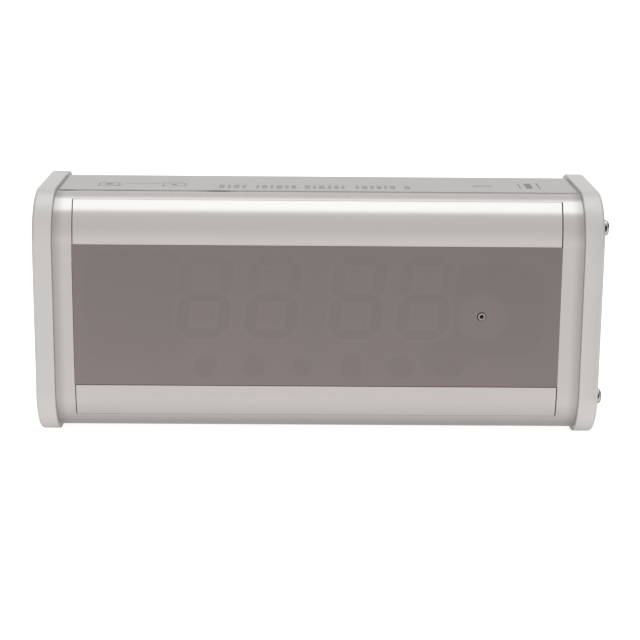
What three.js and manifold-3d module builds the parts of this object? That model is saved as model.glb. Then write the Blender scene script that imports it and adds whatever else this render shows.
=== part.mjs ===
// Desktop alarm speaker with a four-digit display: an extruded case between two end plates.
// Millimetres, +Z up, the display faces -Y, and the end plates stand on Z = 0.
import * as THREE from "three";
import Module from "manifold-3d";
import { mergeVertices } from "three/addons/utils/BufferGeometryUtils.js";

const wasm = await Module();
wasm.setup();

// ---- Driving dimensions ----
const overallWidth = 250.5; // over the outer faces of the end plates
const bodyDepth = 85;
const bodyHeight = 107.6;
const cornerRadius = 22; // of the case section
const wall = 2; // of the case and of its front strips
const plateThickness = 8.5;
const plateStand = 1.75; // the end plates stand proud of the case all round
const plateRadius = 22.5; // of the end plates' corners
const gap = 0.3; // left between neighbours

// The front opening runs over part of both roundings; angles are from the front face.
const openingLeftX = -108.1;
const openingRightX = 107.2;
const openingTopAngle = THREE.MathUtils.degToRad(64);
const openingBottomAngle = THREE.MathUtils.degToRad(36);
const windowBottom = plateStand + 23.4; // lower edge of the film
const windowTop = windowBottom + 64;
const digitHeight = 38.1;
const digitTilt = THREE.MathUtils.degToRad(4.7); // the digits lean to the right
const digitCentresX = [-49.9, -20, 17.3, 47.1];
const digitMiddleZ = plateStand + 64.2;
const keyPitch = 21.4;
const firstKeyX = -49.3;
const keyZ = plateStand + 33;
const microphoneX = 72.4;
const microphoneZ = plateStand + 55.7;

const plateScrewY = 35.5; // before and behind the case's middle
const plateScrewLowZ = plateStand + 18;
const plateScrewHighZ = plateStand + 95;
const plateScrewRadius = 1.5;
const panHeadRadius = 3.5;
const panHeadHeight = 2.2;
const speakerZ = plateStand + bodyHeight / 2;
const grilleHolePitch = 7.2;
const grilleHoleRadius = 1.9;
const speakerBoltOffset = 23.5; // from the speaker's axis, both ways
const inletX = 84;
const inletZ = plateStand + 34;

// ---- Sizes worked out from them ----
const frontY = -bodyDepth / 2;
const rearY = bodyDepth / 2;
const bodyBottom = plateStand;
const bodyTop = plateStand + bodyHeight;
const plateInnerX = overallWidth / 2 - plateThickness;
const caseHalfWidth = plateInnerX - gap;
const stripLeftX = openingLeftX + 0.5;
const stripRightX = openingRightX - 0.6;
const frontArcY = frontY + cornerRadius;
const lowArcZ = bodyBottom + cornerRadius;
const highArcZ = bodyTop - cornerRadius;
const plateScrewPlaces = [
  [-plateScrewY, plateScrewLowZ],
  [plateScrewY, plateScrewLowZ],
  [-plateScrewY, plateScrewHighZ],
  [plateScrewY, plateScrewHighZ],
];

// Layers behind the front opening, from the film back to the display board. The carrier's
// middle fills the opening and its flange slides in the slots behind the case's two lips.
const filmThickness = 0.5;
const lipThickness = 1.8;
const filmBackY = frontY + filmThickness;
const carrierFrontY = filmBackY + gap;
const slotFrontY = frontY + lipThickness;
const flangeFrontY = slotFrontY + gap;
const flangeThickness = 1.5;
const carrierBackY = flangeFrontY + flangeThickness;
const boardFrontY = -30;
const boardThickness = 1.6;
const boardBackY = boardFrontY + boardThickness;

// ---- Looks ----
const silver = { color: 0xbebab6, metalness: 0.9, roughness: 0.35 };
const paleGrey = { color: 0xccc9c6, metalness: 0, roughness: 0.55 };
const smokedGrey = { color: 0x827a77, metalness: 0, roughness: 0.3 };
const nickel = { color: 0xc9c9c9, metalness: 1, roughness: 0.2 };
const black = { color: 0x222222, metalness: 0, roughness: 0.6 };
const darkGreen = { color: 0x1f4a33, metalness: 0, roughness: 0.5 };
const white = { color: 0xe8e8e8, metalness: 0, roughness: 0.4 };

const model = new THREE.Group();

// ---- Solids ----

// Turns a closed geometry into a solid that can be cut and joined.
function solidOf(geometry) {
  const bare = geometry.index ? geometry.toNonIndexed() : geometry.clone();
  bare.deleteAttribute("normal");
  bare.deleteAttribute("uv");
  const merged = mergeVertices(bare, 1e-4);
  const index = merged.index.array;
  const corner = (i) => new THREE.Vector3().fromBufferAttribute(merged.attributes.position, i);
  const triangles = [];
  let volume = 0;
  for (let i = 0; i < index.length; i += 3) {
    const [a, b, c] = index.slice(i, i + 3);
    if (a === b || b === c || c === a) continue;
    triangles.push(a, b, c);
    volume += corner(a).dot(corner(b).cross(corner(c)));
  }
  if (volume < 0) triangles.reverse();
  return new wasm.Manifold(new wasm.Mesh({
    numProp: 3,
    vertProperties: new Float32Array(merged.attributes.position.array),
    triVerts: new Uint32Array(triangles),
  }));
}

function geometryOf(solid) {
  const mesh = solid.getMesh();
  const geometry = new THREE.BufferGeometry();
  geometry.setAttribute("position", new THREE.BufferAttribute(mesh.vertProperties, 3));
  geometry.setIndex(new THREE.BufferAttribute(mesh.triVerts, 1));
  geometry.computeVertexNormals();
  return geometry;
}

function join(...solids) {
  return solids.reduce((whole, next) => whole.add(next));
}

function cut(solid, ...tools) {
  return tools.reduce((rest, tool) => rest.subtract(tool), solid);
}

function addNode(name, solid, look, position = [0, 0, 0]) {
  const mesh = new THREE.Mesh(geometryOf(solid), new THREE.MeshStandardMaterial(look));
  mesh.name = name;
  mesh.position.set(...position);
  model.add(mesh);
}

// ---- Building blocks ----

function box(low, high) {
  const size = high.map((value, i) => value - low[i]);
  const middle = high.map((value, i) => (value + low[i]) / 2);
  return solidOf(new THREE.BoxGeometry(...size).translate(...middle));
}

// A section drawn in Y and Z, run along X.
function alongX(shape, fromX, toX, curveSegments = 5) {
  const options = { depth: toX - fromX, bevelEnabled: false, curveSegments };
  const geometry = new THREE.ExtrudeGeometry(shape, options);
  const turn = new THREE.Matrix4().makeBasis(
    new THREE.Vector3(0, 1, 0), new THREE.Vector3(0, 0, 1), new THREE.Vector3(1, 0, 0));
  return solidOf(geometry.applyMatrix4(turn).translate(fromX, 0, 0));
}

// An outline drawn in X and Z, run from backY towards the front.
function towardsFront(shape, backY, thickness, curveSegments = 5) {
  const options = { depth: thickness, bevelEnabled: false, curveSegments };
  const geometry = new THREE.ExtrudeGeometry(shape, options);
  const turn = new THREE.Matrix4().makeBasis(
    new THREE.Vector3(1, 0, 0), new THREE.Vector3(0, 0, 1), new THREE.Vector3(0, -1, 0));
  return solidOf(geometry.applyMatrix4(turn).translate(0, backY, 0));
}

// A profile of [radius, distance] points turned about an axis through the centre.
function turned(profile, axis, centre = [0, 0, 0], segments = 16) {
  const points = profile.map(([radius, along]) => new THREE.Vector2(radius, along));
  const geometry = new THREE.LatheGeometry(points, segments);
  if (axis === "x") geometry.rotateZ(-Math.PI / 2);
  if (axis === "z") geometry.rotateX(Math.PI / 2);
  return solidOf(geometry.translate(...centre));
}

function rod(radius, from, to, axis, centre = [0, 0, 0], segments = 16) {
  return turned([[0, from], [radius, from], [radius, to], [0, to]], axis, centre, segments);
}

function roundedRectangle(lowA, lowB, highA, highB, radius) {
  const shape = new THREE.Shape();
  shape.absarc(lowA + radius, lowB + radius, radius, Math.PI, 1.5 * Math.PI);
  shape.absarc(highA - radius, lowB + radius, radius, 1.5 * Math.PI, 2 * Math.PI);
  shape.absarc(highA - radius, highB - radius, radius, 0, 0.5 * Math.PI);
  shape.absarc(lowA + radius, highB - radius, radius, 0.5 * Math.PI, Math.PI);
  shape.closePath();
  return shape;
}

// The case section's outline, moved in by inset.
function caseOutline(inset) {
  return roundedRectangle(
    frontY + inset, bodyBottom + inset, rearY - inset, bodyTop - inset, cornerRadius - inset);
}

// ---- Case ----

// The section's corner points at an angle from the front, above and below the window.
const onUpperArc = (radius, angle) =>
  [frontArcY - radius * Math.cos(angle), highArcZ + radius * Math.sin(angle)];
const onLowerArc = (radius, angle) =>
  [frontArcY - radius * Math.cos(angle), lowArcZ - radius * Math.sin(angle)];

// What the front opening takes out of the case: the wall and the screw ports behind it.
function openingTool() {
  const innerReach = 17;
  const outerReach = 32;
  const portClearY = -31.9;
  const section = new THREE.Shape([
    onUpperArc(innerReach, openingTopAngle),
    onUpperArc(outerReach, openingTopAngle),
    [frontY - 20, bodyTop + 5],
    [frontY - 20, bodyBottom - 5],
    onLowerArc(outerReach, openingBottomAngle),
    onLowerArc(innerReach, openingBottomAngle),
    [portClearY, lowArcZ - innerReach / 2],
    [portClearY, highArcZ + innerReach / 2],
  ].map(([y, z]) => new THREE.Vector2(y, z)));
  return alongX(section, openingLeftX, openingRightX);
}

// Main board, lying in two L-shaped guide rails on the case's floor.
const mainBoardBottom = 6.5;
const mainBoardHalfDepth = 23.7;

function boardRails() {
  const railInnerY = 22.5;
  const railOuterY = 25.2;
  const railTop = 9.6;
  const slot = [6.2, 8.5];
  const rail = (side) => {
    const [nearY, farY, backY] = [railInnerY, railOuterY, 24].map((y) => side * y);
    const block = box(
      [-caseHalfWidth, Math.min(nearY, farY), bodyBottom + 1],
      [caseHalfWidth, Math.max(nearY, farY), railTop]);
    const groove = box(
      [-caseHalfWidth - 1, Math.min(nearY - side, backY), slot[0]],
      [caseHalfWidth + 1, Math.max(nearY - side, backY), slot[1]]);
    return cut(block, groove);
  };
  return [rail(-1), rail(1)];
}

function grilleHoles() {
  const rings = 3;
  const holes = [];
  for (let row = -rings; row <= rings; row += 1) {
    const count = 2 * rings + 1 - Math.abs(row);
    for (let i = 0; i < count; i += 1) {
      const x = (i - (count - 1) / 2) * grilleHolePitch;
      const z = speakerZ + row * grilleHolePitch * Math.sin(Math.PI / 3);
      holes.push(rod(grilleHoleRadius, rearY - 2 * wall, rearY + 1, "y", [x, 0, z], 8));
    }
  }
  return holes;
}

const speakerBolts = [-1, 1].flatMap((sideX) => [-1, 1].map((sideZ) =>
  [sideX * speakerBoltOffset, speakerZ + sideZ * speakerBoltOffset]));

function housingExtrusion() {
  const portRadius = 3.2;
  const portHoleRadius = 1.9;
  const cutX = caseHalfWidth + 1;
  const screwPort = ([y, z]) => rod(portRadius, -caseHalfWidth, caseHalfWidth, "x", [0, y, z], 12);
  const portHole = ([y, z]) => rod(portHoleRadius, -cutX, cutX, "x", [0, y, z], 12);
  const lowPortWeb = (side) => box(
    [-caseHalfWidth, Math.min(side * plateScrewY, side * (rearY - 1)), plateScrewLowZ - 1],
    [caseHalfWidth, Math.max(side * plateScrewY, side * (rearY - 1)), plateScrewLowZ + 1]);
  const boltHole = ([x, z]) => rod(1.8, rearY - 2 * wall, rearY + 1, "y", [x, 0, z], 8);
  const inletHole = rod(4.4, rearY - 2 * wall, rearY + 1, "y", [inletX, 0, inletZ], 12);
  const tube = cut(
    alongX(caseOutline(0), -caseHalfWidth, caseHalfWidth),
    alongX(caseOutline(wall), -cutX, cutX),
  );
  const body = join(tube, ...plateScrewPlaces.map(screwPort), lowPortWeb(-1), lowPortWeb(1), ...boardRails());
  return cut(body, openingTool(), ...plateScrewPlaces.map(portHole), ...grilleHoles(),
    ...speakerBolts.map(boltHole), inletHole);
}
addNode("housing_extrusion", housingExtrusion(), silver);

// Front strips: curved lips above and below the film. Each has a slot for the carrier on its
// window side and a tongue behind the case's edge on the other.
const slotWidth = 2.1;
const slotDepth = 3.2;
function frontStrip(onArc, edgeZ, away, edgeAngle, endAngle) {
  const slotBackY = slotFrontY + slotWidth;
  const ribBackY = slotBackY + 1.3;
  const floorZ = edgeZ + away * slotDepth;
  const floorBackZ = floorZ + away * 1.1;
  const innerRadius = cornerRadius - wall;
  const arcMiddleZ = onArc(0, 0)[1];
  const floorAngle = Math.asin((away * (floorBackZ - arcMiddleZ)) / innerRadius);
  const tongue = { outer: innerRadius - gap, inner: innerRadius - gap - 1.3 };
  const tongueStart = endAngle - THREE.MathUtils.degToRad(9);
  const tongueEnd = endAngle + THREE.MathUtils.degToRad(9);
  const stripEnd = endAngle - 0.15 / cornerRadius;
  const arcPoints = (radius, from, to, steps) => Array.from({ length: steps + 1 }, (_, i) =>
    onArc(radius, from + ((to - from) * i) / steps));
  const points = [
    ...arcPoints(cornerRadius, edgeAngle, stripEnd, 8),
    ...arcPoints(tongue.outer, stripEnd, tongueEnd, 2),
    ...arcPoints(tongue.inner, tongueEnd, tongueStart, 3),
    ...arcPoints(innerRadius, tongueStart, floorAngle, 5),
    [ribBackY, floorBackZ], [ribBackY, floorZ - away * 1.5], [slotBackY, floorZ - away * 1.5],
    [slotBackY, floorZ], [slotFrontY, floorZ], [slotFrontY, edgeZ],
  ];
  if (edgeAngle === 0) points.push([frontY, edgeZ]);
  return alongX(new THREE.Shape(points.map(([y, z]) => new THREE.Vector2(y, z))), stripLeftX, stripRightX);
}
const upperEdgeAngle = Math.asin((windowTop - highArcZ) / cornerRadius);
addNode("upper_strip", frontStrip(onUpperArc, windowTop, 1, upperEdgeAngle, openingTopAngle), silver);
addNode("lower_strip", frontStrip(onLowerArc, windowBottom, -1, 0, openingBottomAngle), silver);

// End plates: thick moulded slabs, cored out on the inner side away from the screws.
function endPlate(side) {
  const outerX = side * (overallWidth / 2);
  const innerX = side * plateInnerX;
  const [lowX, highX] = [Math.min(outerX, innerX), Math.max(outerX, innerX)];
  const coreDepth = 5;
  const coreInset = 14;
  const outline = roundedRectangle(
    frontY - plateStand, 0, rearY + plateStand, bodyTop + plateStand, plateRadius);
  const slab = alongX(outline, lowX, highX);
  const coreX = [innerX - side, innerX + side * coreDepth].sort((a, b) => a - b);
  const core = box(
    [coreX[0], frontY + coreInset, bodyBottom + coreInset],
    [coreX[1], rearY - coreInset, bodyTop - coreInset],
  );
  const hole = ([y, z]) => rod(1.9, lowX - 1, highX + 1, "x", [0, y, z], 12);
  return cut(slab, core, ...plateScrewPlaces.map(hole));
}

// The left plate's screws are countersunk flush, the right plate's stand out.
const countersinkRadius = 3.3;
const countersinkDepth = 2.2;
function countersink([y, z]) {
  const outerX = -overallWidth / 2;
  const profile = [
    [0, outerX - 1],
    [countersinkRadius + gap, outerX - 1],
    [countersinkRadius + gap, outerX + gap],
    [plateScrewRadius + gap, outerX + countersinkDepth + gap],
    [0, outerX + countersinkDepth + gap],
  ];
  return turned(profile, "x", [0, y, z], 12);
}
addNode("end_plate_left", cut(endPlate(-1), ...plateScrewPlaces.map(countersink)), paleGrey);
addNode("end_plate_right", endPlate(1), paleGrey);

const plateScrewLength = 28; // from the plate's outer face
function panScrew() {
  const seatX = overallWidth / 2 + 0.05;
  return turned([
    [0, seatX - plateScrewLength],
    [plateScrewRadius, seatX - plateScrewLength + 1],
    [plateScrewRadius, seatX],
    [panHeadRadius, seatX],
    [panHeadRadius, seatX + 0.9],
    [panHeadRadius * 0.7, seatX + panHeadHeight - 0.3],
    [0, seatX + panHeadHeight],
  ], "x", [0, 0, 0], 12);
}
function countersunkScrew() {
  const outerX = -overallWidth / 2 + 0.1;
  return turned([
    [0, outerX],
    [countersinkRadius, outerX],
    [plateScrewRadius, outerX + countersinkDepth],
    [plateScrewRadius, outerX + plateScrewLength - 1],
    [0, outerX + plateScrewLength],
  ], "x", [0, 0, 0], 12);
}
plateScrewPlaces.forEach(([y, z], i) => {
  addNode(`right_plate_screw_${i + 1}`, panScrew(), nickel, [0, y, z]);
  addNode(`left_plate_screw_${i + 1}`, countersunkScrew(), nickel, [0, y, z]);
});

// Printed label on the case's flat top.
const labelThickness = 0.25;
const labelBottom = bodyTop + 0.1;
const labelHalfDepth = bodyDepth / 2 - cornerRadius;
addNode("top_label", box(
  [gap - caseHalfWidth, -labelHalfDepth, labelBottom],
  [caseHalfWidth - gap, labelHalfDepth, labelBottom + labelThickness]), paleGrey);

// ---- Display ----

const soundHoleRadius = 1.95;
const film = cut(
  box(
    [openingLeftX + 0.15, frontY, windowBottom + gap],
    [openingRightX - 0.4, filmBackY, windowTop - gap]),
  rod(soundHoleRadius, frontY - 1, filmBackY + 1, "y", [microphoneX, 0, microphoneZ], 16),
);
addNode("front_film", film, smokedGrey);

const keyPlaces = [0, 1, 2, 3, 4, 5].map((i) => firstKeyX + i * keyPitch);
const keyHeadRadius = 4.6;
const boardScrewPlaces = [-100, 100].flatMap((x) => [31, 84].map((z) => [x, z]));

function frontCarrier() {
  const slotReach = 2.4; // how far the carrier reaches into the case's slots
  const digitOpeningHalfWidth = 13.6;
  const digitOpeningHalfHeight = digitHeight / 2 + 1.4;
  const middle = box(
    [openingLeftX + gap, carrierFrontY, windowBottom + gap],
    [openingRightX - gap, carrierBackY, windowTop - gap]);
  const flange = box(
    [stripLeftX, flangeFrontY, windowBottom - slotReach],
    [stripRightX, carrierBackY, windowTop + slotReach]);
  const digitOpening = (x) => box(
    [x - digitOpeningHalfWidth, carrierFrontY - 1, digitMiddleZ - digitOpeningHalfHeight],
    [x + digitOpeningHalfWidth, carrierBackY + 1, digitMiddleZ + digitOpeningHalfHeight]);
  const keyHole = (x) => rod(keyHeadRadius + gap, carrierFrontY - 1, carrierBackY + 1, "y", [x, 0, keyZ], 12);
  const post = ([x, z]) => rod(3, carrierBackY - 0.5, boardFrontY - gap, "y", [x, 0, z], 12);
  const postHole = ([x, z]) => rod(1.3, boardFrontY - 8, boardFrontY + 1, "y", [x, 0, z], 8);
  const soundHole = rod(
    soundHoleRadius, carrierFrontY - 1, carrierBackY + 1, "y", [microphoneX, 0, microphoneZ], 16);
  return cut(
    join(middle, flange, ...boardScrewPlaces.map(post)),
    ...digitCentresX.map(digitOpening),
    ...keyPlaces.map(keyHole),
    ...boardScrewPlaces.map(postHole),
    soundHole);
}
addNode("front_carrier", frontCarrier(), black);

// A digit: a block with seven slanted segment pockets in its front.
function ledDigit() {
  const halfWidth = 13.2;
  const halfHeight = digitHeight / 2 + 1;
  const segmentThickness = 4.4;
  const segmentLength = 16;
  const pocketDepth = 1;
  const blockFrontY = carrierFrontY + gap;
  const block = box([-halfWidth, blockFrontY, -halfHeight], [halfWidth, boardFrontY - gap, halfHeight]);
  const bar = new THREE.Shape();
  const half = segmentThickness / 2;
  const reach = segmentLength / 2;
  bar.moveTo(-reach, 0);
  bar.lineTo(-reach + half, -half);
  bar.lineTo(reach - half, -half);
  bar.lineTo(reach, 0);
  bar.lineTo(reach - half, half);
  bar.lineTo(-reach + half, half);
  bar.closePath();
  const lean = Math.tan(digitTilt);
  const rowZ = digitHeight / 2 - half;
  const columnX = segmentLength / 2 + 0.6;
  const places = [
    [0, rowZ, false], [0, 0, false], [0, -rowZ, false],
    [-columnX, rowZ / 2, true], [columnX, rowZ / 2, true],
    [-columnX, -rowZ / 2, true], [columnX, -rowZ / 2, true],
  ];
  const pockets = places.map(([x, z, upright]) => {
    const geometry = new THREE.ExtrudeGeometry(bar, { depth: pocketDepth + 1, bevelEnabled: false });
    if (upright) geometry.rotateZ(Math.PI / 2);
    geometry.translate(x, z, 0);
    const shear = new THREE.Matrix4().makeShear(0, 0, lean, 0, 0, 0);
    geometry.applyMatrix4(shear).rotateX(Math.PI / 2);
    return solidOf(geometry.translate(0, blockFrontY + pocketDepth, 0));
  });
  return cut(block, ...pockets);
}
digitCentresX.forEach((x, i) => addNode(`led_digit_${i + 1}`, ledDigit(), white, [x, 0, digitMiddleZ]));

const boardHalfWidth = 104;
const displayBoard = cut(
  box([-boardHalfWidth, boardFrontY, 27], [boardHalfWidth, boardBackY, 88]),
  ...boardScrewPlaces.map(([x, z]) => rod(1.3, boardFrontY - 1, boardBackY + 1, "y", [x, 0, z], 8)),
);
addNode("display_board", displayBoard, darkGreen);

boardScrewPlaces.forEach(([x, z], i) => {
  const profile = [
    [0, boardFrontY - 6],
    [1, boardFrontY - 6],
    [1, boardBackY + 0.1],
    [2.2, boardBackY + 0.1],
    [2.2, boardBackY + 1.6],
    [0, boardBackY + 1.6],
  ];
  addNode(`board_screw_${i + 1}`, turned(profile, "y", [0, 0, 0], 10), nickel, [x, 0, z]);
});

// Keys: round plungers behind the film, each working its own switch.
const keyTravel = 0.35;
const switchHeight = 3.6;
const switchFrontY = boardFrontY - gap - switchHeight;
const keyProfile = [
  [0, carrierFrontY],
  [keyHeadRadius, carrierFrontY],
  [keyHeadRadius, carrierBackY + gap],
  [keyHeadRadius + 1.2, carrierBackY + gap],
  [keyHeadRadius + 1.2, carrierBackY + 1.3],
  [1.7, carrierBackY + 1.3],
  [1.7, switchFrontY + 0.9],
  [0, switchFrontY + 0.9],
];
const switchHalfWidth = 3;
const wellDepth = 0.9 + 2 * keyTravel;
keyPlaces.forEach((x, i) => {
  addNode(`key_${i + 1}`, turned(keyProfile, "y", [0, 0, 0], 14), white, [x, 0, keyZ]);
  const body = box(
    [-switchHalfWidth, switchFrontY, -switchHalfWidth],
    [switchHalfWidth, boardFrontY - gap, switchHalfWidth]);
  const well = rod(2.1, switchFrontY - 1, switchFrontY + wellDepth, "y", [0, 0, 0], 10);
  addNode(`key_switch_${i + 1}`, cut(body, well), black, [x, 0, keyZ]);
});

// Microphone capsule in a rubber boot, whose nozzle shows in the film's hole.
const bootBackY = -33.5;
const bootFrontY = carrierBackY + gap;
const nozzle = { bore: 0.8, radius: 1.65, tipY: frontY + gap };
addNode("microphone_boot", turned([
  [nozzle.bore, nozzle.tipY], [nozzle.radius, nozzle.tipY], [nozzle.radius, bootFrontY],
  [10.2, bootFrontY], [10.2, bootFrontY + 1.2], [6.5, bootFrontY + 1.2], [6.5, bootBackY],
  [5, bootBackY], [5, bootFrontY + 1], [nozzle.bore, bootFrontY + 1], [nozzle.bore, nozzle.tipY],
], "y", [microphoneX, 0, microphoneZ]), paleGrey);
const capsuleFrontY = bootFrontY + 1.3;
addNode("microphone", rod(
  4.7, capsuleFrontY, boardFrontY - gap, "y", [microphoneX, 0, microphoneZ], 14), nickel);

// ---- Speaker, facing the perforated rear wall ----

const speakerCentre = [0, 0, speakerZ];
const gasketBackY = rearY - wall - gap; // the side against the rear wall
const gasketThickness = 1.2;
const speakerFlangeRearY = gasketBackY - gasketThickness - gap;
const speakerFlangeThickness = 1.3;
const flangeHalfSize = 28.5;
const seatRadius = 25;
addNode("speaker_gasket", turned([
  [seatRadius, gasketBackY], [seatRadius, gasketBackY - gasketThickness],
  [28.4, gasketBackY - gasketThickness], [28.4, gasketBackY], [seatRadius, gasketBackY],
], "y", speakerCentre, 20), black);

function speakerFrame() {
  const flange = towardsFront(
    roundedRectangle(-flangeHalfSize, -flangeHalfSize, flangeHalfSize, flangeHalfSize, 5),
    speakerFlangeRearY, speakerFlangeThickness, 2).translate(0, 0, speakerZ);
  const seatBore = rod(seatRadius, speakerFlangeRearY - 3, speakerFlangeRearY + 1, "y", speakerCentre, 20);
  const basket = turned([
    [seatRadius, speakerFlangeRearY], [seatRadius, speakerFlangeRearY - 3.5], [13, 24], [8.3, 24],
    [8.3, 22.6], [13.8, 22.6], [seatRadius + 1.3, speakerFlangeRearY - 4], [seatRadius + 1.3, speakerFlangeRearY],
    [seatRadius, speakerFlangeRearY],
  ], "y", speakerCentre, 20);
  const boltHole = ([x, z]) =>
    rod(1.8, speakerFlangeRearY - speakerFlangeThickness - 1, speakerFlangeRearY + 1, "y", [x, 0, z], 8);
  return join(cut(flange, seatBore, ...speakerBolts.map(boltHole)), basket);
}
addNode("speaker_frame", speakerFrame(), black);

addNode("speaker_magnet", turned([
  [0, 8], [16, 8], [16, 22.3], [8.2, 22.3], [8.2, 12], [6.2, 12], [6.2, 22.3], [0, 22.3],
], "y", speakerCentre, 20), nickel);

// Cone, surround, dust cap and voice coil are bonded into one moving piece.
const coneRimRadius = 24.4;
addNode("speaker_cone", turned([
  [0, 31.6], [4.5, 31], [7.6, 28.8], [20.5, 36.3], [21.5, 37.2], [22.6, 37.6], [23.6, 36.9],
  [coneRimRadius, 36.9], [coneRimRadius, 36.2], [23.2, 36.2], [22.5, 36.8], [21.8, 36.4], [20.9, 35.5], [7.6, 27.6],
  [7.6, 14], [6.9, 14], [6.9, 28.2], [4.2, 30.2], [0, 30.8],
], "y", speakerCentre, 20), black);

const rearWallY = rearY - wall;
speakerBolts.forEach(([x, z], i) => {
  const nutRearY = speakerFlangeRearY - speakerFlangeThickness - 0.1;
  const screwEndY = nutRearY - 3.4;
  const profile = [
    [0, screwEndY], [1.5, screwEndY], [1.5, rearY + 0.05], [2.8, rearY + 0.05], [2.8, rearY + 0.8],
    [1.9, rearY + 1.6], [0, rearY + 1.6],
  ];
  addNode(`speaker_screw_${i + 1}`, turned(profile, "y", [0, 0, 0], 12), nickel, [x, 0, z]);
  const nut = cut(
    rod(3.1, nutRearY - 2.4, nutRearY, "y", [0, 0, 0], 6),
    rod(1.8, nutRearY - 4, nutRearY + 1, "y", [0, 0, 0], 10),
  );
  addNode(`speaker_nut_${i + 1}`, nut, nickel, [x, 0, z]);
});

// ---- Main board and its wiring ----

const mainBoardTop = mainBoardBottom + 1.6;
const mainBoardLeftX = -70;
const mainBoardRightX = 100;
function mainBoard() {
  const components = [
    [[20, -12], [34, 2], 4.2], // amplifier under its heat spreader
    [[48, -16], [58, -6], 9], // supply capacitor
    [[66, 8], [78, 20], 6.5], // supply coil
  ];
  const bare = box(
    [mainBoardLeftX, -mainBoardHalfDepth, mainBoardBottom],
    [mainBoardRightX, mainBoardHalfDepth, mainBoardTop]);
  const parts = components.map(([[lowX, lowY], [highX, highY], height]) =>
    box([lowX, lowY, mainBoardTop - 0.5], [highX, highY, mainBoardTop + height]));
  return join(bare, ...parts);
}
addNode("main_board", mainBoard(), darkGreen);

addNode("radio_module", box([-64, -12, mainBoardTop + gap], [-44, 4, mainBoardTop + gap + 2.8]), nickel);

// Flat cable: out of the display board's back, round a quarter bend and down to the main board.
function flatCable() {
  const startY = boardBackY + gap;
  const startZ = 40;
  const bendRadius = 4;
  const thickness = 1;
  const bendY = startY + 3;
  const section = new THREE.Shape();
  section.moveTo(startY, startZ);
  section.absarc(bendY, startZ - bendRadius, bendRadius, 0.5 * Math.PI, 0, true);
  section.lineTo(bendY + bendRadius, mainBoardTop + gap);
  section.lineTo(bendY + bendRadius - thickness, mainBoardTop + gap);
  section.absarc(bendY, startZ - bendRadius, bendRadius - thickness, 0, 0.5 * Math.PI);
  section.lineTo(startY, startZ - thickness);
  section.closePath();
  return alongX(section, -30, -10, 3);
}
addNode("flat_cable", flatCable(), paleGrey);

function speakerLead() {
  const route = new THREE.CatmullRomCurve3([
    [-6, 15, speakerZ - 17], [-9, 13, speakerZ - 24], [-4, 8, speakerZ - 31], [0, 6, mainBoardTop + gap],
  ].map((point) => new THREE.Vector3(...point)));
  const section = new THREE.Shape().absarc(0, 0, 1.2, 0, 2 * Math.PI);
  const tube = new THREE.ExtrudeGeometry(section, { steps: 10, extrudePath: route, curveSegments: 4 });
  return cut(solidOf(tube), box([-20, -10, 0], [20, 30, mainBoardTop + gap]));
}
addNode("speaker_lead", speakerLead(), black);

// Power inlet: a threaded barrel socket through the rear wall, held by a nut inside.
const inletAxis = [inletX, 0, inletZ];
const inletFlangeY = rearY + 0.05;
addNode("power_inlet", turned([
  [0, 30], [4, 30], [4, inletFlangeY], [5.5, inletFlangeY], [5.5, inletFlangeY + 1.4],
  [3.2, inletFlangeY + 1.4], [3.2, 34.5], [1.05, 34.5], [1.05, rearY], [0, rearY],
], "y", inletAxis), black);
addNode("power_inlet_nut", cut(
  rod(6.4, rearWallY - gap - 2.2, rearWallY - gap, "y", inletAxis, 6),
  rod(4.4, rearWallY - 5, rearWallY + 1, "y", inletAxis, 12),
), nickel);

// The screw heads stand out on the right only, so the middle of the whole width moves.
model.position.x = -(panHeadHeight + 0.05) / 2;

export default model;
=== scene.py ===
# A desktop alarm speaker: an extruded aluminium case between two moulded end plates, with a
# smoked film over a four-digit display in front and a perforated speaker wall behind.
# Metres, +Z up, the display faces -Y.
from math import cos, pi, radians, sin, sqrt, tan, tau

import bmesh
import bpy
import numpy as np
from mathutils import Matrix, Vector


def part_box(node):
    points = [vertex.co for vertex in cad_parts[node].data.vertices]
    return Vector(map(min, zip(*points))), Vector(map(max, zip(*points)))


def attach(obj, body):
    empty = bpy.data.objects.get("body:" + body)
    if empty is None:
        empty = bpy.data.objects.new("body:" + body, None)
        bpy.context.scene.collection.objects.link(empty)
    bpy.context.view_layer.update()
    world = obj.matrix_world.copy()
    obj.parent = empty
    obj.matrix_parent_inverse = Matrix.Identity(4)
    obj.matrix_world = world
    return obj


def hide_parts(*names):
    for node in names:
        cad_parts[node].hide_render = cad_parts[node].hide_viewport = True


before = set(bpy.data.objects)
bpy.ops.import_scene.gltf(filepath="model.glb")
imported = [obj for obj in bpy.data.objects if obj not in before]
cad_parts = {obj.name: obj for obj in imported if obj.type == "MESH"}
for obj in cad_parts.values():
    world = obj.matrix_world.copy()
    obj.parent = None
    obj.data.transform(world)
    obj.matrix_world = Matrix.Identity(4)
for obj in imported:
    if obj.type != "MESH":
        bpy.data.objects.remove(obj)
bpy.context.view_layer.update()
scene = bpy.context.scene
MM = 0.001

# ---- Camera ----

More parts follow.
